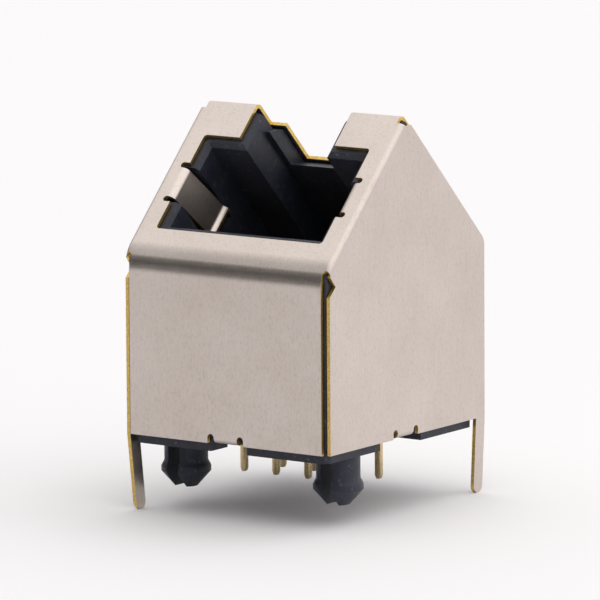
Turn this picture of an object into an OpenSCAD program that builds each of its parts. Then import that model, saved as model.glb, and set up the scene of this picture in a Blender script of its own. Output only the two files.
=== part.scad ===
// Shielded modular jack for a circuit board, with its plug face sloped at 45 degrees.
// One folded sheet-metal shield wraps a moulded housing with two snap-in board pegs.
// A moulded carrier inside holds eight formed contacts.
//
// All lengths are in millimetres.  The part stands on the board: its origin is the
// middle of the board face, +X runs across the plug, +Y runs to the back, +Z is up.

/* [Shield] */
// Width over the two side panels
shield_w = 16; // [15.6:0.1:20]
// Depth over the front and rear panels
shield_d = 18.2; // [18:0.1:22]
// Height of the front panel, up to the corner of its bend
front_h = 11.7; // [10.8:0.1:15]
// Length of the sloped plug face, corner to corner
slope_len = 12.95; // [12.5:0.05:14]
// Thickness of the sheet
sheet_t = 0.25; // [0.15:0.01:0.35]
// Inside radius of the bends below the plug face and the rear slope
wide_bend_r = 0.95; // [0.4:0.05:1.5]
// Inside radius of the bends along the ridge and at the finger roots
sharp_bend_r = 0.25; // [0.15:0.05:0.35]
// Inside radius of the bends along the sides of the plug face
side_bend_r = 0.05; // [0.02:0.01:0.2]
// Gap beside the front, ridge and rear strip, out to the side panels' faces
corner_gap = 0.5; // [0.4:0.05:0.7]
// Gap between the side panels' free edges and the strip that they meet
edge_gap = 0.05; // [0.02:0.01:0.15]
// Depth of the notch where the front, the slope and a side panel meet
corner_notch = 1.35; // [0.8:0.05:1.8]
// Radius of the relief at each end of the ridge
ridge_relief_r = 0.8; // [0.5:0.05:1.1]

/* [Plug mouth in the shield] */
// Width of the mouth
mouth_w = 13; // [12.6:0.1:13.4]
// Distance of the mouth from the front bend, along the slope
mouth_low = 2.25; // [2:0.05:2.5]
// Height of the mouth, along the slope
mouth_h = 7.7; // [7.4:0.05:8]
// Radius in the mouth's corners
mouth_r = 0.25; // [0.1:0.05:0.6]
// Width of the latch slot
slot_w = 7.46; // [7:0.02:8]
// Depth of the full-width window behind the ridge
window_d = 2.1; // [1.2:0.1:3]
// Width of the narrow window behind it
narrow_window_w = 5; // [4.7:0.1:6]
// Depth of both windows together
narrow_window_d = 5.5; // [4:0.1:6.5]

/* [Ground fingers] */
// Width of a finger
finger_w = 2.35; // [1.6:0.05:3]
// Middle of the fingers, above the lower edge of the mouth
finger_up = 3.77; // [3:0.01:4.5]
// Length of the flat part of a finger
finger_len = 3.45; // [2:0.05:4]
// Lean of the fingers into the mouth, in degrees
finger_lean = 13; // [5:1:16]
// Distance of a finger's face inside the edge of the mouth
finger_inset = 0.1; // [0:0.01:0.2]
// Inside radius of the turned end of a finger
curl_r = 0.35; // [0.2:0.05:0.6]
// Turn of that end, in degrees
finger_curl = 75; // [30:5:80]
// Width of the relief cuts beside a finger
finger_relief_w = 0.42; // [0.3:0.02:0.6]

/* [Tabs and legs] */
// Width of the tabs folded under the housing
tab_w = 1.8; // [1.2:0.1:2.6]
// Length of a tab after its bend
tab_len = 1.4; // [0.8:0.1:2]
// Inside radius of a tab's bend
tab_bend_r = 0.1; // [0.05:0.05:0.3]
// Width of the relief cuts beside a tab
tab_relief_w = 0.5; // [0.3:0.05:0.8]
// Distance of the side tabs from the front panel
side_tab_y = 8.75; // [8.2:0.05:9.5]
// Width of the solder legs
leg_w = 1; // [0.6:0.1:1.6]
// Length of the solder legs below the shield
leg_len = 5; // [3.6:0.1:6]
// Inward lean of the front left leg, in degrees
front_leg_lean = 5.5; // [1:0.5:8]
// Inward lean of the rear right leg, in degrees
rear_leg_lean = 2.5; // [1:0.5:8]
// Inside radius of the slight bend at the top of a leg
leg_bend_r = 1.25; // [0.8:0.05:2]

/* [Housing] */
// Height of the shield's lower edge above the board
seat_gap = 0.6; // [0.3:0.05:1]
// Clearance between the sheet and the housing
shell_gap = 0.05; // [0.02:0.01:0.1]
// Width of the rim that stands on the board
rim_w = 1.8; // [1.2:0.1:2.2]
// Corner radius of the rim
rim_r = 0.6; // [0.3:0.1:1]
// Distance of the rim inside the sides and front of the housing
rim_inset = 0.12; // [0.05:0.01:0.3]
// Distance of the rim from the back of the housing
rim_rear = 0.7; // [0.2:0.05:1.2]
// Gap in the rim for each side tab
side_rim_gap = 4.6; // [3.2:0.1:5.4]
// Plastic left showing inside the edges of the mouth
mouth_strip = 0.3; // [0.15:0.01:0.4]
// Width of the chamfer round the mouth
mouth_chamfer = 0.28; // [0.15:0.01:0.35]
// Depth of the plug cavity behind the plastic face
cavity_d = 12; // [11:0.1:12.2]
// Height of the latch slot above the plug cavity
latch_h = 2.15; // [1.8:0.05:2.4]
// Clearance of the windows in the housing's roof round the shield's windows
window_gap = 0.3; // [0.1:0.05:0.4]
// Distance of the housing's face below the ridge of the shield, beside the windows
ridge_setback = 0.75; // [0.5:0.05:1]
// Clearance round a finger in its pocket
pocket_gap = 0.25; // [0.1:0.05:0.35]
// Wall of the housing behind the front panel
front_wall = 1.9; // [1.2:0.1:2.4]
// Lip of the housing below the mouth
lip_t = 1.15; // [0.8:0.05:1.5]

/* [Board pegs] */
// Diameter of a peg's shaft
peg_d = 2.85; // [2.4:0.05:3.1]
// Largest diameter of a peg's barb
barb_d = 3.26; // [3.14:0.02:3.5]
// Distance of a peg's axis inside the side panel's face
peg_inset = 2; // [1.95:0.05:2.3]
// Distance of the pegs from the front panel
peg_y = 4; // [3:0.1:5]
// Length of a peg below the board face
peg_len = 3.2; // [2.8:0.1:4.5]
// Length of the plain shaft above the barb
peg_shaft_len = 1.5; // [1:0.05:2]
// Length of the flare from the shaft to the barb
barb_flare = 0.4; // [0.2:0.05:0.6]
// Length of the barb at full diameter
barb_land = 0.3; // [0.1:0.05:0.5]
// Diameter of a peg's end
peg_tip_d = 1.5; // [1.1:0.1:2]
// Width of the slot that splits a peg
peg_slot_w = 0.9; // [0.5:0.05:0.95]
// Width of the pad round a peg's root, level with the rim
peg_pad = 0.3; // [0.15:0.05:0.5]

/* [Contacts] */
// Spacing of the contacts in the plug cavity
contact_pitch = 1.02; // [0.96:0.01:1.05]
// Sideways spacing of the solder tails
tail_pitch = 1.27; // [1.1:0.01:1.35]
// Distance of the first row of tails from the front panel
tail_row_y = 8.3; // [7.6:0.1:8.8]
// Distance between the two rows of tails
tail_row_gap = 2.54; // [1.8:0.02:2.8]
// Length of the tails below the board face
tail_len = 2.8; // [2.2:0.1:4]
// Width of a contact
wire_w = 0.46; // [0.34:0.02:0.5]
// Thickness of a contact
wire_t = 0.32; // [0.24:0.02:0.4]
// Bend radius where a contact turns back into the cavity
wire_turn_r = 0.55; // [0.45:0.05:0.7]
// Distance of that turn behind the lip
turn_gap = 0.24; // [0.1:0.02:0.6]
// Angle between a contact's spring and the cavity floor, in degrees
spring_angle = 16; // [10:1:18]
// Distance of a spring's end from the end wall of the cavity
spring_end_gap = 0.9; // [0.4:0.1:1.4]
// Clearance round a contact in its groove
wire_gap = 0.05; // [0.02:0.01:0.07]

/* [Contact carrier] */
// Wall of the carrier outside the first and last contacts
carrier_wall = 0.4; // [0.2:0.05:0.45]
// Wall of its foot outside the first and last solder tails
foot_wall = 0.52; // [0.3:0.02:0.8]
// Length of its foot in front of and behind the tails
foot_margin = 1.2; // [0.6:0.1:1.6]
// Height of its foot
foot_h = 2.4; // [1.8:0.1:3]
// Clearance between the carrier and the housing
carrier_gap = 0.05; // [0.02:0.01:0.1]
// Clearance between a contact's end and the comb's ribs
rib_gap = 0.06; // [0.03:0.01:0.1]
// Depth of the comb's ribs
rib_d = 1.6; // [1.3:0.1:2.4]

/* [Hidden] */
$fn = 48;
contacts = 8;

// Slope of the plug face; the rear slope meets it at a right angle.
slope_angle = 45;
// A length that reaches past whatever it cuts, and one that just opens a face
past = 30;
over = 1;

metal_colour = [0.78, 0.75, 0.71];
plastic_colour = [0.12, 0.13, 0.16];
contact_colour = [0.86, 0.72, 0.42];

// Directions that the strip's outer faces look in, in the Y-Z plane
front_normal = [-1, 0];
slope_normal = [-sin(slope_angle), cos(slope_angle)];
rear_slope_normal = [cos(slope_angle), sin(slope_angle)];
rear_normal = [1, 0];

// A point in the Y-Z plane, from its distance v up the plug face and n out of it
function on_face(v, n) = [0, front_h] + v * rear_slope_normal + n * slope_normal;

strip_w = shield_w - 2 * corner_gap;
side_setback = sheet_t + edge_gap;

// Outside radii of the bends
wide_r = wide_bend_r + sheet_t;
sharp_r = sharp_bend_r + sheet_t;
side_r = side_bend_r + sheet_t;
curl_out_r = curl_r + sheet_t;
tab_out_r = tab_bend_r + sheet_t;
leg_out_r = leg_bend_r + sheet_t;

rear_slope_len = (shield_d - slope_len * cos(slope_angle)) / sin(slope_angle);
rear_h = on_face(slope_len, -rear_slope_len)[1];

// Centres of the strip's three bends
front_bend = [wide_r, front_h - wide_r * tan((90 - slope_angle) / 2)];
ridge_bend = on_face(slope_len - sharp_r, -sharp_r);
rear_bend = [shield_d - wide_r, rear_h - wide_r * tan(slope_angle / 2)];

// The housing's faces, just inside the sheet
inset = sheet_t + shell_gap;
housing_w = shield_w - 2 * inset;
edge_chamfer = 0.15;
base_lift = tab_out_r;
front_rim_gap = tab_w + 2 * tab_relief_w;
// How far the rim, the pegs and the comb's ribs run into the block that carries them
root = 0.1;

// The plug cavity, from the mouth
cavity_w = mouth_w - 2 * (mouth_strip + mouth_chamfer);
cavity_low = mouth_low + mouth_strip + mouth_chamfer;
cavity_top = mouth_low + mouth_h - mouth_strip - mouth_chamfer;
cavity_end = inset + cavity_d;
latch_w = slot_w - 2 * (mouth_strip + mouth_chamfer);
latch_top = cavity_top + latch_h;
roof_top = slope_len - ridge_setback;

// The ground fingers
finger_v = mouth_low + finger_up;
finger_bend_x = mouth_w / 2 - finger_inset + sharp_r;
pocket_d = sharp_r + finger_len + 2 * curl_out_r + pocket_gap;

// The contact carrier, which runs on a little past the end wall of the cavity
carrier_tail = 0.8;
carrier_w = (contacts - 1) * contact_pitch + wire_w + 2 * carrier_wall;
foot_w = (contacts - 1) * tail_pitch + wire_w + 2 * foot_wall;
carrier_y = inset + front_wall;
carrier_n = inset + lip_t;
carrier_top = cavity_low - carrier_gap;
carrier_end = cavity_end + carrier_tail;
carrier_back_y = tail_row_y + tail_row_gap + foot_margin;
foot_front_y = tail_row_y - foot_margin;

// The board pegs
peg_x = shield_w / 2 - peg_inset;

// The contacts: the wire lies in a groove just below the cavity floor
groove_v = carrier_top - wire_t;
wire_turn_n = carrier_n + turn_gap + wire_turn_r + wire_t / 2;
rib_t = contact_pitch - wire_w - 2 * rib_gap;
turn_steps = 8;

// Their tails step sideways inside the carrier's foot, between two heights
jog_cover = 0.4;
jog_foot = 0.7;
jog_top = base_lift + foot_h - jog_cover;
jog_bottom = base_lift + jog_foot;
tail_z = -seat_gap - tail_len;
tip_len = 0.25;

// ---- plane shapes -------------------------------------------------------------------

// The upright section of the shield as a filled outline, drawn in by a distance
module house(by, foot = 0) {
    front_r = wide_r - by;
    top_r = sharp_r - by;
    polygon([
        [by, foot],
        front_bend + front_r * front_normal,
        front_bend + front_r * slope_normal,
        ridge_bend + top_r * slope_normal,
        ridge_bend + top_r * rear_slope_normal,
        rear_bend + front_r * rear_slope_normal,
        rear_bend + front_r * rear_normal,
        [shield_d - by, foot]
    ]);
    translate(front_bend) circle(front_r);
    translate(ridge_bend) circle(top_r);
    translate(rear_bend) circle(front_r);
}

// A rectangle on a face, between two heights
module span(w, low, high) {
    translate([-w / 2, low]) square([w, high - low]);
}

// The same with rounded corners
module round_span(w, low, high, r) {
    span(w - 2 * r, low, high);
    span(w, low + r, high - r);
    for (x = [-1, 1], y = [low + r, high - r])
        translate([x * (w / 2 - r), y]) circle(r);
}

// The section of a bend in the sheet: a ring's part between two angles
module bend(r, from, to) {
    reach = 2 * r;
    middle = (from + to) / 2;
    intersection() {
        difference() {
            circle(r);
            circle(r - sheet_t);
        }
        polygon([
            [0, 0],
            reach * [cos(from), sin(from)],
            reach * [cos(middle), sin(middle)],
            reach * [cos(to), sin(to)]
        ]);
    }
}

// A line of points drawn h thick on each side
function unit(a, b) = (b - a) / norm(b - a);
function left_of(d) = [-d[1], d[0]];
function corner_side(p, i) =
    i == 0 ? left_of(unit(p[0], p[1])) :
    i == len(p) - 1 ? left_of(unit(p[i - 1], p[i])) :
    let (a = left_of(unit(p[i - 1], p[i])), b = left_of(unit(p[i], p[i + 1])))
    (a + b) / (1 + a * b);
function stroke(p, h) = concat(
    [for (i = [0:len(p) - 1]) p[i] + h * corner_side(p, i)],
    [for (i = [len(p) - 1:-1:0]) p[i] - h * corner_side(p, i)]);

// ---- placing ------------------------------------------------------------------------

// From the shield's front lower edge to the part's own frame
module seated() {
    translate([0, -shield_d / 2, seat_gap]) children();
}

// A shape drawn in the Y-Z plane, made w wide about x
module across(w, x = 0) {
    translate([x, 0, 0]) rotate([90, 0, 90]) linear_extrude(w, center = true) children();
}

// A shape drawn in the X-Z plane, made d deep about y
module along(d, y = 0) {
    translate([0, y, 0]) rotate([90, 0, 0]) linear_extrude(d, center = true) children();
}

// Children drawn with X across, Y up the plug face and Z out of it
module on_slope() {
    translate([0, 0, front_h]) rotate([slope_angle, 0, 0]) children();
}

// A shape drawn across the slope and out of it, run up the slope
module up_slope(from, to) {
    on_slope() translate([0, to, 0]) rotate([90, 0, 0]) linear_extrude(to - from) children();
}

// A block on the plug face: width, span up the slope, span out of it
module slope_block(w, v0, v1, n0, n1, x = 0) {
    on_slope() translate([x - w / 2, v0, n0]) cube([w, v1 - v0, n1 - n0]);
}

module both_sides() {
    children();
    mirror([1, 0, 0]) children();
}

// ---- shield -------------------------------------------------------------------------

// Front panel, plug face, ridge, rear slope and rear panel in one strip
module strip() {
    across(strip_w) difference() {
        house(0);
        house(sheet_t, -over);
    }
}

// Section across the plug face: the face, its two side bends and the side panels
module channel_section() {
    half = shield_w / 2;
    span(shield_w - 2 * side_r, -sheet_t, 0);
    for (s = [0, 1]) mirror([s, 0]) {
        translate([half - side_r, -side_r]) bend(side_r, 0, 90);
        translate([half - sheet_t, -past]) square([sheet_t, past - side_r]);
    }
}

// Outline of a side panel together with the edge of the plug face above it
module side_outline() {
    notch_floor = on_face(0, -corner_notch);
    difference() {
        union() {
            house(side_setback);
            polygon([
                on_face(0, 0),
                on_face(slope_len - side_setback, 0),
                on_face(slope_len - side_setback, -sharp_r),
                on_face(0, -sharp_r)
            ]);
        }
        polygon([
            on_face(0, over),
            on_face(0, -corner_notch),
            [-over, notch_floor[1] - over - notch_floor[0]]
        ]);
    }
}

module side_panels() {
    intersection() {
        up_slope(-past, past) channel_section();
        across(shield_w) side_outline();
    }
}

// Small round reliefs where the sheet splits at the corners
module corner_reliefs() {
    both_sides() {
        across(over, (strip_w + over) / 2)
            translate(on_face(slope_len, 0)) circle(ridge_relief_r);
        on_slope() translate([(strip_w + corner_gap) / 2, 0, -side_r])
            cylinder(h = past, d = corner_gap);
    }
}

// The plug mouth, the latch slot and the two windows behind the ridge
module mouth_cut() {
    on_slope() translate([0, 0, -over]) linear_extrude(2 * over)
        round_span(mouth_w, mouth_low, mouth_low + mouth_h, mouth_r);
    slope_block(slot_w, mouth_low + mouth_h - over, slope_len + over, -window_d, over);
    slope_block(narrow_window_w, slope_len - over, slope_len + over, -narrow_window_d, over);
}

// Relief cuts beside a finger, and the plate that its bend replaces
module finger_cut() {
    low = finger_v - finger_w / 2;
    high = finger_v + finger_w / 2;
    r = finger_relief_w / 2;
    on_slope() translate([0, 0, -over]) linear_extrude(2 * over) {
        for (v = [low - r, high + r]) {
            translate([0, v - r]) square([finger_bend_x, 2 * r]);
            translate([finger_bend_x, v]) circle(r);
        }
        translate([0, low]) square([finger_bend_x, finger_w]);
    }
}

// A finger: a bend into the mouth, a flat spring and an end turned up towards the plug
module finger() {
    up_slope(finger_v - finger_w / 2, finger_v + finger_w / 2)
    translate([finger_bend_x, -sharp_r]) {
        bend(sharp_r, 90, 180 - finger_lean);
        rotate(-finger_lean) translate([-sharp_r, -finger_len]) {
            square([sheet_t, finger_len]);
            translate([-curl_r, 0]) bend(curl_out_r, -finger_curl, 0);
        }
    }
}

// Relief cuts beside a tab, and the plate that its bend replaces
module tab_cut() {
    r = tab_relief_w / 2;
    along(4 * sheet_t) {
        for (x = [-1, 1] * (tab_w / 2 + r)) translate([x, 0]) {
            translate([-r, -over]) square([2 * r, over + tab_out_r]);
            translate([0, tab_out_r]) circle(r);
        }
        span(tab_w, -over, tab_out_r);
    }
}

// A tab folded inwards under the housing
module tab() {
    across(tab_w) {
        translate([tab_out_r, tab_out_r]) bend(tab_out_r, 180, 270);
        translate([tab_out_r, 0]) square([tab_len, sheet_t]);
    }
}

// The four tabs' places: front, rear, right and left
module at_tabs() {
    children();
    translate([0, shield_d, 0]) rotate([0, 0, 180]) children();
    translate([shield_w / 2, side_tab_y, 0]) rotate([0, 0, 90]) children();
    translate([-shield_w / 2, side_tab_y, 0]) rotate([0, 0, -90]) children();
}

// A solder leg under the left side panel, with its front edge at y
module leg(y, lean) {
    straight = leg_len - leg_out_r * sin(lean);
    tip_r = leg_w / 2;
    intersection() {
        along(leg_w, y + tip_r) translate([leg_out_r - shield_w / 2, 0]) {
            bend(leg_out_r, 180, 180 + lean);
            rotate(lean) translate([-leg_out_r, -straight]) square([sheet_t, straight]);
        }
        across(shield_w) {
            translate([y + tip_r, tip_r - leg_len]) circle(tip_r);
            translate([y, tip_r - leg_len]) square([leg_w, leg_len]);
        }
    }
}

module shield() {
    color(metal_colour) seated() {
        difference() {
            union() {
                strip();
                side_panels();
            }
            corner_reliefs();
            mouth_cut();
            both_sides() finger_cut();
            at_tabs() tab_cut();
        }
        both_sides() finger();
        at_tabs() tab();
        leg(side_setback, front_leg_lean);
        mirror([1, 0, 0]) leg(shield_d - side_setback - leg_w, rear_leg_lean);
    }
}

// ---- housing ------------------------------------------------------------------------

// The block that fills the shield, chamfered where it passes the side bends
module housing_block() {
    half = housing_w / 2;
    intersection() {
        across(housing_w) house(inset, base_lift);
        up_slope(-past, past) polygon([
            [-half, -past],
            [half, -past],
            [half, -inset - edge_chamfer],
            [half - edge_chamfer, -inset],
            [edge_chamfer - half, -inset],
            [-half, -inset - edge_chamfer]
        ]);
    }
}

// A chamfered entry: a block whose four edges slope in by the chamfer's width
module entry(w, low, high) {
    c = mouth_chamfer;
    intersection() {
        up_slope(low - c, high + c) polygon([
            [-w / 2 - 2 * c, c - inset],
            [w / 2 + 2 * c, c - inset],
            [w / 2, -c - inset],
            [-w / 2, -c - inset]
        ]);
        across(w + 4 * c) polygon([
            on_face(low - 2 * c, c - inset),
            on_face(high + 2 * c, c - inset),
            on_face(high, -c - inset),
            on_face(low, -c - inset)
        ]);
    }
}

// A window through the roof beyond v, with a level sill just below the shield's window
module roof_window(w, v, d) {
    sill = on_face(slope_len - inset, -d - window_gap)[1];
    intersection() {
        slope_block(w, v, past, -cavity_end, past);
        translate([-w / 2, 0, sill]) cube([w, past, past]);
    }
}

// The plug cavity, its latch slot and the windows through the roof
module plug_space() {
    slope_block(cavity_w, cavity_low, cavity_top, -cavity_end, over);
    slope_block(latch_w, cavity_top - over, latch_top, -cavity_end, over);
    roof_window(latch_w, latch_top - over, window_d);
    roof_window(slot_w + 2 * window_gap, roof_top, window_d);
    roof_window(narrow_window_w + 2 * window_gap, latch_top - over, narrow_window_d);
    entry(cavity_w, cavity_low, cavity_top);
    entry(latch_w, cavity_top - over, past);
}

// Room for the spring fingers beside the cavity
module finger_pockets() {
    reach = finger_bend_x + pocket_gap / 2;
    tall = finger_w + 2 * pocket_gap;
    slope_block(2 * reach, finger_v - tall / 2, finger_v + tall / 2, -pocket_d, over);
}

// The carrier's outline from the side, grown by a clearance
module carrier_outline(grow = 0) {
    front_v = (carrier_y - carrier_n * sin(slope_angle)) / cos(slope_angle);
    back = on_face(carrier_top, -carrier_end);
    polygon([
        [carrier_y - grow, base_lift - 2 * grow],
        on_face(front_v, grow - carrier_n) - [grow, 0],
        on_face(carrier_top + grow, grow - carrier_n),
        back + [0, 2 * grow],
        [carrier_back_y + grow, back[1] + grow],
        [carrier_back_y + grow, base_lift - 2 * grow]
    ]);
}

// The wedge under the cavity floor and its wider foot
module carrier_block(grow = 0) {
    across(carrier_w + 2 * grow) carrier_outline(grow);
    translate([-foot_w / 2 - grow, foot_front_y - grow, base_lift - 2 * grow])
        cube([foot_w + 2 * grow, carrier_back_y - foot_front_y + 2 * grow, foot_h + 3 * grow]);
}

// The comb on the cavity's end wall that keeps the springs apart
module comb() {
    top = groove_v + (cavity_end - wire_turn_n) * tan(spring_angle) + 3 * wire_turn_r;
    for (i = [0:contacts]) slope_block(
        rib_t, cavity_low, top, -cavity_end - root, rib_d - cavity_end,
        (i - contacts / 2) * contact_pitch
    );
}

// The rim that stands on the board, with a pad round each peg's root, open where the
// shield's tabs fold under
module rim() {
    w = housing_w - 2 * rim_inset;
    front = inset + rim_inset;
    back = shield_d - inset - rim_rear;
    pad_r = peg_d / 2 + peg_pad;
    difference() {
        translate([0, 0, -seat_gap]) linear_extrude(seat_gap + base_lift + root) difference() {
            round_span(w, front, back, rim_r);
            difference() {
                span(w - 2 * rim_w, front + rim_w, back - rim_w);
                for (s = [0, 1]) mirror([s, 0])
                    translate([peg_x - pad_r, 0]) square([w / 2, peg_y + pad_r]);
            }
        }
        translate([-front_rim_gap / 2, 0, -over]) cube([front_rim_gap, past, over + base_lift]);
        translate([-w, side_tab_y - side_rim_gap / 2, -over]) cube([2 * w, side_rim_gap, over + base_lift]);
    }
}

// A split peg with a barb, below the board face at z = 0
module peg() {
    barb_r = barb_d / 2;
    barb_z = -peg_shaft_len - barb_flare;
    difference() {
        rotate_extrude() polygon([
            [0, root],
            [peg_d / 2, root],
            [peg_d / 2, -peg_shaft_len],
            [barb_r, barb_z],
            [barb_r, barb_z - barb_land],
            [peg_tip_d / 2, -peg_len],
            [0, -peg_len]
        ]);
        translate([-peg_slot_w / 2, -barb_d, -past]) cube([peg_slot_w, 2 * barb_d, past]);
    }
}

module housing() {
    color(plastic_colour) seated() {
        difference() {
            union() {
                housing_block();
                rim();
                both_sides() translate([peg_x, peg_y, -seat_gap]) peg();
            }
            plug_space();
            finger_pockets();
            carrier_block(carrier_gap);
        }
        comb();
    }
}

// ---- contacts and their carrier -----------------------------------------------------

function contact_x(i) = (i - (contacts - 1) / 2) * contact_pitch;
function tail_x(i) = (i - (contacts - 1) / 2) * tail_pitch;
function row_y(i) = tail_row_y + (i % 2) * tail_row_gap;
function row_n(i) = (groove_v * cos(slope_angle) - row_y(i)) / sin(slope_angle);

// Where the spring leaves its turn and where it ends, as v and n
spring_start = [groove_v, -wire_turn_n] + wire_turn_r * [1 + cos(spring_angle), sin(spring_angle)];
spring_run = spring_start[1] + cavity_end - spring_end_gap;
spring_end = spring_start + spring_run * [tan(spring_angle), -1];

// A contact's middle line from the side: up from its tail, along the floor, back as a spring
function contact_path(i) = concat(
    [[row_y(i), jog_top], on_face(groove_v, row_n(i))],
    [for (k = [0:turn_steps])
        let (a = 180 - k * (180 - spring_angle) / turn_steps)
        on_face(groove_v + wire_turn_r * (1 + cos(a)), -wire_turn_n + wire_turn_r * sin(a))],
    [on_face(spring_end[0], spring_end[1])]);

// Its middle line from the front, where it steps out to the spacing of the tails
function tail_path(i) = [
    [contact_x(i), jog_top + wire_t],
    [contact_x(i), jog_top],
    [tail_x(i), jog_bottom],
    [tail_x(i), tail_z + tip_len]
];

// Contact i, counted from 0, grown by a clearance for its groove
module contact(i, grow = 0) {
    across(wire_w + 2 * grow, contact_x(i)) {
        polygon(stroke(contact_path(i), wire_t / 2 + grow));
        children();
    }
    along(wire_t + 2 * grow, row_y(i)) {
        polygon(stroke(tail_path(i), wire_w / 2 + grow));
        translate([tail_x(i), tail_z]) polygon([
            [-wire_w / 4, 0],
            [wire_w / 4, 0],
            [wire_w / 2, tip_len],
            [-wire_w / 2, tip_len]
        ]);
    }
}

module formed_contact(i) {
    color(contact_colour) seated() contact(i);
}

// The open side of the groove that holds contact i along the cavity floor
module groove_outline(i) {
    deep = row_n(i) - wire_t;
    polygon([
        on_face(groove_v, deep),
        on_face(groove_v, over),
        on_face(carrier_top + over, over),
        on_face(carrier_top + over, deep)
    ]);
}

module contact_carrier() {
    color(plastic_colour) seated() difference() {
        carrier_block();
        for (i = [0:contacts - 1]) contact(i, wire_gap) groove_outline(i);
    }
}

shield();
housing();
contact_carrier();
for (i = [1:contacts]) formed_contact(i - 1);
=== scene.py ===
# A shielded board jack with a sloped plug face: edges, finishes, studio and camera.
import math
import re

import bpy
from mathutils import Matrix, Vector
from mathutils.bvhtree import BVHTree


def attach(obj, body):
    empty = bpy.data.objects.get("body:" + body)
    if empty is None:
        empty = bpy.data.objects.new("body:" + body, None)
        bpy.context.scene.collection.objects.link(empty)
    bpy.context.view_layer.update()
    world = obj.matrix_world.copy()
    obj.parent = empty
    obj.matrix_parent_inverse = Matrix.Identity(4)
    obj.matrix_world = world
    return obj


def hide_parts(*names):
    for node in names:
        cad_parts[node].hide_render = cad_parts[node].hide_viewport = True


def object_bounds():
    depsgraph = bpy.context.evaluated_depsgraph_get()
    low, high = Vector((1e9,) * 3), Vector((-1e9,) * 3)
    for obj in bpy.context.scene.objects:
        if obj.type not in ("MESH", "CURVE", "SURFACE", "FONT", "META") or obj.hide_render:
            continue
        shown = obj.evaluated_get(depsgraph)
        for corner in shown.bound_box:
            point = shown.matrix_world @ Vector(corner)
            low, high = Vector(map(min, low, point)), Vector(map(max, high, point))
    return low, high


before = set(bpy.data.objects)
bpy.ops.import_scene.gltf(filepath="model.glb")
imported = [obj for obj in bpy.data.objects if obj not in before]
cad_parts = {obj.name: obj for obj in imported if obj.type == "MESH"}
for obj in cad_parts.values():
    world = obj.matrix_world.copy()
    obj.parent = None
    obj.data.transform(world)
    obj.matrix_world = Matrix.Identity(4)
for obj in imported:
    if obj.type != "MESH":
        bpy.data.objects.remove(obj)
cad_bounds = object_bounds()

MM = 0.001
CONTACTS = sorted(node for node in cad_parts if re.fullmatch(r"contact_\d", node))
jack_low = cad_bounds[0]

# How closely surfaces are cleaned and matched: millimetres, then degrees
MERGE = 0.002
TOUCH = 0.01
FLAT = 0.5
CREASE = 30
WIRE_CREASE = 40
WIRE_EDGE = 0.04

# The shield, in millimetres: its sheet, half its front panel, and the strips beside the plug face
SHEET_T = 0.25
BACKING = 0.3
PANEL_X = 7.5
STRIP_X = 7.7
SLIVER_AREA = 0.05

# The corner where the front panel and the plug face would meet, and the wide bend drawn there
FRONT_Y = jack_low.y / MM
CORNER_Z = 12.3
FACE_SLOPE = 45
BEND_R = 2.7
BEND_STEPS = 12
ZONE_BACK, ZONE_DOWN, ZONE_UP = 1.5, 1.5, 1.2

# Depths below the sharp corner: the sheet's outside, all that moves with the bend, all that stays
OUTSIDE_DEPTH = 0.17
MOVED_DEPTH = 0.4
STILL_DEPTH = 0.75


# ---- working on a piece ---------------------------------------------------------------

def take_up(piece):
    """Makes a piece the only one selected, and the active one."""
    bpy.ops.object.select_all(action="DESELECT")
    piece.select_set(True)
    bpy.context.view_layer.objects.active = piece


def copy_of(node, name):
    """A copy of a solid's surface with its doubled corners merged and its flats made whole."""
    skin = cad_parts[node].data.copy()
    piece = bpy.data.objects.new(name, skin)
    bpy.context.scene.collection.objects.link(piece)
    skin.materials.clear()
    take_up(piece)
    bpy.ops.mesh.customdata_custom_splitnormals_clear()
    bpy.ops.object.mode_set(mode="EDIT")
    bpy.ops.mesh.select_all(action="SELECT")
    bpy.ops.mesh.remove_doubles(threshold=MERGE * MM)
    bpy.ops.mesh.dissolve_degenerate(threshold=MERGE * MM)
    bpy.ops.mesh.dissolve_limited(angle_limit=math.radians(FLAT))
    bpy.ops.object.mode_set(mode="OBJECT")
    return piece


def break_edges(piece):
    """Rounds every sharp edge of a wire."""
    take_up(piece)
    edge = piece.modifiers.new("broken edges", "BEVEL")
    edge.width = WIRE_EDGE * MM
    edge.segments = 2
    edge.limit_method = "ANGLE"
    edge.angle_limit = math.radians(32)
    bpy.ops.object.modifier_apply(modifier=edge.name)
    bpy.ops.object.shade_smooth_by_angle(angle=math.radians(WIRE_CREASE))


def smooth_flats(piece):
    """Shades bends smooth and leaves the flats beside them flat."""
    take_up(piece)
    bpy.ops.object.shade_smooth_by_angle(angle=math.radians(CREASE))
    even = piece.modifiers.new("even flats", "WEIGHTED_NORMAL")
    even.keep_sharp = True
    even.weight = 90
    bpy.ops.object.modifier_apply(modifier=even.name)


def finish_piece(piece, slot, node, *materials):
    """Gives a piece its materials and puts it in the place of a solid."""
    for material in materials:
        piece.data.materials.append(material)
    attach(piece, "root")
    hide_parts(node)


# ---- finishes -------------------------------------------------------------------------

def fill_ramp(ramp, stops):
    """Sets a colour ramp from (place, colour or grey) stops."""
    while len(ramp.elements) < len(stops):
        ramp.elements.new(0.5)
    for element, (at, shade) in zip(ramp.elements, stops):
        element.position = at
        colour = (shade, shade, shade) if isinstance(shade, (int, float)) else shade
        element.color = (*colour, 1)


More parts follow.
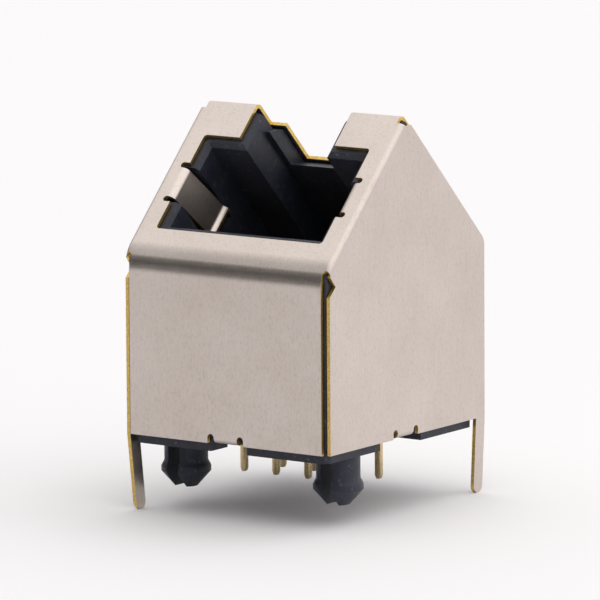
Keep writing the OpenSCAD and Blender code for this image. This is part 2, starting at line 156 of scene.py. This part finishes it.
class Finish:
    """A material with its nodes laid out in object millimetres."""

    def __init__(self, name):
        self.material = bpy.data.materials.new(name)
        self.material.use_nodes = True
        self.nodes = self.material.node_tree.nodes
        self.links = self.material.node_tree.links
        self.shader = self.nodes["Principled BSDF"]
        place = self.nodes.new("ShaderNodeTexCoord")
        self.place = self.mapped(place.outputs["Object"], (1 / MM, 1 / MM, 1 / MM))

    def link(self, source, target):
        self.links.new(source, target)

    def mapped(self, source, scale, turn=(0, 0, 0)):
        node = self.nodes.new("ShaderNodeMapping")
        node.inputs["Scale"].default_value = scale
        node.inputs["Rotation"].default_value = turn
        self.link(source, node.inputs["Vector"])
        return node.outputs["Vector"]

    def noise(self, scale, detail=3.0, rough=0.55, stretch=(1, 1, 1), turn=(0, 0, 0)):
        node = self.nodes.new("ShaderNodeTexNoise")
        node.inputs["Scale"].default_value = scale
        node.inputs["Detail"].default_value = detail
        node.inputs["Roughness"].default_value = rough
        self.link(self.mapped(self.place, stretch, turn), node.inputs["Vector"])
        return node.outputs["Fac"]

    def ramp(self, source, *stops):
        """A ramp through (place, colour or grey) stops."""
        node = self.nodes.new("ShaderNodeValToRGB")
        fill_ramp(node.color_ramp, stops)
        self.link(source, node.inputs["Fac"])
        return node.outputs["Color"]

    def mix(self, amount, first, second, blend="MIX"):
        """Two colours mixed; the amount and either colour may be a number or a node's output."""
        node = self.nodes.new("ShaderNodeMix")
        node.data_type = "RGBA"
        node.blend_type = blend
        sockets = node.inputs[0], node.inputs[6], node.inputs[7]
        for socket, value in zip(sockets, (amount, first, second)):
            if isinstance(value, bpy.types.NodeSocket):
                self.link(value, socket)
            elif isinstance(value, (int, float)):
                socket.default_value = value
            else:
                socket.default_value = (*value, 1)
        return node.outputs[2]

    def broken_edge(self, width):
        """Normals that turn over sharp edges as if these were rounded by a width in millimetres."""
        node = self.nodes.new("ShaderNodeBevel")
        node.samples = 6
        node.inputs["Radius"].default_value = width * MM
        return node.outputs["Normal"]

    def relief(self, height, depth, under=None):
        """A bump of a depth in millimetres, laid over the one under it."""
        node = self.nodes.new("ShaderNodeBump")
        node.inputs["Strength"].default_value = 1.0
        node.inputs["Distance"].default_value = depth * MM
        self.link(height, node.inputs["Height"])
        if under is not None:
            self.link(under, node.inputs["Normal"])
        return node.outputs["Normal"]


def nickel_plate():
    """Plated sheet: a warm grey satin with drawn streaks, fine grain and shallow handling marks."""
    plate = Finish("satin nickel plate")
    clouds = plate.noise(0.22, 4)
    grain = plate.noise(7.0, 3, 0.65, stretch=(1.0, 1.0, 0.55))
    streaks = plate.noise(3.0, 4, 0.65, stretch=(2.6, 2.6, 0.3))
    marks = plate.noise(1.4, 3, 0.6, stretch=(1.0, 1.0, 3.5), turn=(0.6, 0.3, 0.4))
    tone = plate.ramp(clouds, (0.3, (0.71, 0.625, 0.565)), (0.7, (0.77, 0.69, 0.63)))
    tone = plate.mix(0.5, tone, plate.ramp(streaks, (0.3, 0.88), (0.62, 1.0)), "MULTIPLY")
    tone = plate.mix(0.6, tone, plate.ramp(grain, (0.32, 0.8), (0.5, 1.0)), "MULTIPLY")
    plate.link(tone, plate.shader.inputs["Base Color"])
    plate.link(plate.ramp(marks, (0.25, 0.30), (0.75, 0.34)), plate.shader.inputs["Roughness"])
    plate.shader.inputs["Metallic"].default_value = 1.0
    waves = plate.relief(plate.noise(0.35, 1.0), 0.012, plate.broken_edge(0.035))
    drawn = plate.relief(streaks, 0.002, waves)
    plate.link(plate.relief(grain, 0.0016, drawn), plate.shader.inputs["Normal"])
    return plate.material


def sheared_brass():
    """The cut walls of the sheet, where the plating ends and the brass shows."""
    cut = Finish("sheared brass")
    shear = cut.noise(9.0, 3, 0.6)
    tone = cut.ramp(shear, (0.3, (0.60, 0.39, 0.085)), (0.7, (0.93, 0.70, 0.24)))
    cut.link(tone, cut.shader.inputs["Base Color"])
    cut.link(cut.ramp(shear, (0.3, 0.5), (0.7, 0.3)), cut.shader.inputs["Roughness"])
    cut.shader.inputs["Metallic"].default_value = 1.0
    cut.link(cut.relief(shear, 0.01, cut.broken_edge(0.035)), cut.shader.inputs["Normal"])
    return cut.material


def black_moulding(name="black moulding", painted_light_level=1.0):
    """Satin black moulded plastic with a blue cast, a fine mould grain and scuffs; a level below 1
    darkens its whole tone as painted shade.
    """
    plastic = Finish(name)
    grain = plastic.noise(9.0, 4, 0.6)
    flow = plastic.noise(0.6, 3)
    scuffs = plastic.noise(2.2, 5, 0.75, stretch=(1.0, 2.4, 1.0), turn=(0.5, 0.2, 0.3))
    # Both tones are scaled by the level, which below 1 paints shade over the whole part.
    dark = (0.022 * painted_light_level, 0.0255 * painted_light_level, 0.040 * painted_light_level)
    pale = (0.032 * painted_light_level, 0.036 * painted_light_level, 0.053 * painted_light_level)
    tone = plastic.ramp(flow, (0.3, dark), (0.7, pale))
    scuffed = plastic.ramp(scuffs, (0.57, 0.0), (0.7, 0.7))
    tone = plastic.mix(scuffed, tone, (0.17, 0.17, 0.205))
    plastic.link(tone, plastic.shader.inputs["Base Color"])
    plastic.link(plastic.ramp(scuffs, (0.35, 0.36), (0.7, 0.55)), plastic.shader.inputs["Roughness"])
    plastic.shader.inputs["Specular IOR Level"].default_value = 0.38
    surface = plastic.relief(grain, 0.008, plastic.broken_edge(0.05))
    plastic.link(surface, plastic.shader.inputs["Normal"])
    return plastic.material


def gold_wire():
    """Drawn wire with a thin gold plate."""
    wire = Finish("gold plated wire")
    drawn = wire.noise(6.0, 3, 0.6, stretch=(3.0, 0.5, 0.5))
    tone = wire.ramp(drawn, (0.3, (0.66, 0.50, 0.26)), (0.7, (0.86, 0.70, 0.42)))
    wire.link(tone, wire.shader.inputs["Base Color"])
    wire.link(wire.ramp(drawn, (0.3, 0.34), (0.7, 0.22)), wire.shader.inputs["Roughness"])
    wire.shader.inputs["Metallic"].default_value = 1.0
    wire.link(wire.relief(drawn, 0.004), wire.shader.inputs["Normal"])
    return wire.material


# ---- the shield -----------------------------------------------------------------------

def metal_behind(piece, reach):
    """For each face, whether the sheet's other side lies within reach behind most of it."""
    skin = piece.data
    tree = BVHTree.FromObject(piece, bpy.context.evaluated_depsgraph_get())
    backed = [0.0] * len(skin.polygons)
    skin.calc_loop_triangles()
    for corner in skin.loop_triangles:
        face = skin.polygons[corner.polygon_index]
        middle = sum((skin.vertices[i].co for i in corner.vertices), Vector()) / 3
        hit = tree.ray_cast(middle - face.normal * TOUCH * MM, -face.normal, reach)[0]
        backed[face.index] += corner.area if hit is not None else -corner.area
    return [share > 0 for share in backed]


def clear_picks(kind):
    """Leaves nothing selected on the piece taken up, so that faces or corners can be picked."""
    bpy.ops.object.mode_set(mode="EDIT")
    bpy.ops.mesh.select_mode(type=kind)
    bpy.ops.mesh.select_all(action="DESELECT")
    bpy.ops.object.mode_set(mode="OBJECT")


def out_of_face(at):
    """How far a point in millimetres stands out of the plug face."""
    back, up = at.y - FRONT_Y, at.z - CORNER_Z
    return (up - back) * math.sqrt(0.5)


def level_side_strips(piece):
    """Closes the narrow strips beside the plug face flat, where the skin dips into the sheet."""
    take_up(piece)
    for side in (-1, 1):
        clear_picks("FACE")
        rim = set()
        for face in piece.data.polygons:
            corners = [(i, piece.data.vertices[i].co / MM) for i in face.vertices]
            heights = [out_of_face(at) for i, at in corners]
            on_strip = all(PANEL_X - TOUCH < at.x * side < STRIP_X + TOUCH for i, at in corners)
            dips = -SHEET_T - TOUCH < min(heights) < TOUCH - SHEET_T and max(heights) > -TOUCH
            if on_strip and dips and face.area > SLIVER_AREA * MM * MM:
                face.select = True
                rim.update(i for (i, at), height in zip(corners, heights) if height > -TOUCH)
        bpy.ops.object.mode_set(mode="EDIT")
        bpy.ops.mesh.delete(type="ONLY_FACE")
        clear_picks("VERT")
        for i in rim:
            piece.data.vertices[i].select = True
        bpy.ops.object.mode_set(mode="EDIT")
        bpy.ops.mesh.edge_face_add()
    bpy.ops.mesh.select_all(action="SELECT")
    bpy.ops.mesh.delete_loose(use_verts=True, use_edges=True, use_faces=False)
    bpy.ops.mesh.normals_make_consistent(inside=False)
    bpy.ops.object.mode_set(mode="OBJECT")


def cut_bend(piece, axis_y, axis_z):
    """Cuts the skin near the front corner at the panel's sides and along the lines of its bend."""
    turns = [math.radians(FACE_SLOPE * step / BEND_STEPS) for step in range(BEND_STEPS + 1)]
    cuts = [((x * MM, 0, 0), (1, 0, 0)) for x in (-PANEL_X, PANEL_X)]
    cuts += [((0, axis_y * MM, axis_z * MM), (0, math.sin(turn), math.cos(turn))) for turn in turns]
    take_up(piece)
    for place, across in cuts:
        clear_picks("FACE")
        for face in piece.data.polygons:
            ends = [piece.data.vertices[i].co / MM for i in face.vertices]
            face.select = any(at.y < FRONT_Y + ZONE_BACK
                              and CORNER_Z - ZONE_DOWN < at.z < CORNER_Z + ZONE_UP for at in ends)
        bpy.ops.object.mode_set(mode="EDIT")
        bpy.ops.mesh.bisect(plane_co=place, plane_no=across)
    bpy.ops.object.mode_set(mode="OBJECT")


def soften_front_bend(piece):
    """Draws the corner between the front panel and the plug face in onto one wide bend."""
    axis_y = FRONT_Y + BEND_R
    axis_z = CORNER_Z - BEND_R * math.tan(math.radians(FACE_SLOPE / 2))
    cut_bend(piece, axis_y, axis_z)
    for corner in piece.data.vertices:
        at = corner.co / MM
        reach = math.hypot(axis_y - at.y, at.z - axis_z)
        angle = math.degrees(math.atan2(at.z - axis_z, axis_y - at.y))
        if not (-TOUCH < angle < FACE_SLOPE + TOUCH and reach > BEND_R - STILL_DEPTH):
            continue
        depth = min(at.y - FRONT_Y, -out_of_face(at))
        if abs(at.x) > PANEL_X + TOUCH:
            sharp = BEND_R / math.cos(math.radians(min(angle, FACE_SLOPE - angle)))
            wanted = reach + BEND_R - sharp
        else:
            wanted = BEND_R if depth < OUTSIDE_DEPTH else BEND_R - SHEET_T
        share = min(1, max(0, (STILL_DEPTH - depth) / (STILL_DEPTH - MOVED_DEPTH)))
        scale = 1 + (wanted / reach - 1) * share
        corner.co.y = (axis_y + (at.y - axis_y) * scale) * MM
        corner.co.z = (axis_z + (at.z - axis_z) * scale) * MM


shield = copy_of("shield", "shield_sheet")
level_side_strips(shield)
soften_front_bend(shield)
for face, on_sheet in zip(shield.data.polygons, metal_behind(shield, BACKING * MM)):
    face.material_index = 0 if on_sheet else 1
smooth_flats(shield)
finish_piece(shield, "shield_plating", "shield", nickel_plate(), sheared_brass())


# ---- the mouldings --------------------------------------------------------------------

housing = copy_of("housing", "housing_moulding")
smooth_flats(housing)
finish_piece(housing, "housing_plastic", "housing", black_moulding())

carrier = copy_of("contact_carrier", "contact_carrier_moulding")
smooth_flats(carrier)
# The carrier, deep inside the housing, gets the same moulding at 0.9 of its tone: painted shade.
finish_piece(carrier, "carrier_plastic", "contact_carrier", black_moulding("carrier moulding in painted shade", 0.9))


# ---- the contacts ---------------------------------------------------------------------

gold = gold_wire()
for node in CONTACTS:
    contact = copy_of(node, node.replace("contact", "formed_contact"))
    break_edges(contact)
    finish_piece(contact, "contact_plating", node, gold)


# ---- studio ---------------------------------------------------------------------------

def white_table():
    """A pale table under the jack."""
    table_top = Finish("white table")
    seen = table_top.nodes.new("ShaderNodeLightPath").outputs["Is Camera Ray"]
    tone = table_top.mix(seen, (0.80, 0.79, 0.80), (0.93, 0.92, 0.93))
    table_top.link(tone, table_top.shader.inputs["Base Color"])
    table_top.shader.inputs["Roughness"].default_value = 0.7
    table_top.shader.inputs["Specular IOR Level"].default_value = 0.2
    return table_top.material


bpy.ops.object.select_all(action="DESELECT")
bpy.ops.mesh.primitive_plane_add(size=4.0, location=(0, 0, jack_low.z))
floor = bpy.context.active_object
floor.name = "table"
floor.data.materials.append(white_table())


def dome():
    """A room with a bright ceiling, paler to the back right, dark low walls, and a white backdrop."""
    world = bpy.data.worlds.new("studio")
    bpy.context.scene.world = world
    world.use_nodes = True
    nodes, links = world.node_tree.nodes, world.node_tree.links
    background = nodes["Background"]
    place = nodes.new("ShaderNodeTexCoord")
    towards = nodes.new("ShaderNodeVectorMath")
    towards.operation = "DOT_PRODUCT"
    towards.inputs[1].default_value = Vector((0.25, 0.35, 0.9)).normalized()
    links.new(place.outputs["Generated"], towards.inputs[0])
    ramp = nodes.new("ShaderNodeValToRGB")
    levels = ((0.0, 0.02), (0.12, 0.6), (0.44, 0.75), (0.56, 1.2))
    warmth = 0.985
    fill_ramp(ramp.color_ramp, [(at, (level, level * warmth, level * warmth)) for at, level in levels])
    links.new(towards.outputs["Value"], ramp.inputs["Fac"])
    seen = nodes.new("ShaderNodeLightPath")
    mix = nodes.new("ShaderNodeMix")
    mix.data_type = "RGBA"
    links.new(seen.outputs["Is Camera Ray"], mix.inputs[0])
    links.new(ramp.outputs["Color"], mix.inputs[6])
    mix.inputs[7].default_value = (0.985, 0.98, 0.985, 1)
    links.new(mix.outputs[2], background.inputs["Color"])


dome()

key = bpy.data.lights.new("overhead", "SUN")
key.energy = 0.25
key.angle = math.radians(30)
key_stand = bpy.data.objects.new("overhead", key)
bpy.context.scene.collection.objects.link(key_stand)
key_stand.rotation_mode = "QUATERNION"
key_stand.rotation_quaternion = Vector((-0.25, -0.45, -1)).to_track_quat("-Z", "Y")


# ---- camera ---------------------------------------------------------------------------

lens = bpy.data.cameras.new("camera")
lens.sensor_width = 36
lens.lens = 396.94
lens.clip_start, lens.clip_end = 0.01, 10
camera = bpy.data.objects.new("camera", lens)
bpy.context.scene.collection.objects.link(camera)
azimuth, elevation, roll = (math.radians(angle) for angle in (35.156, 8.933, -0.365))
turn = (Matrix.Rotation(azimuth, 4, "Z") @ Matrix.Rotation(math.pi / 2 - elevation, 4, "X")
        @ Matrix.Rotation(roll, 4, "Z"))
camera.matrix_world = Matrix.Translation(Vector((243.253, -346.093, 75.261)) * MM) @ turn
bpy.context.scene.camera = camera
bpy.context.scene.view_settings.view_transform = "Standard"
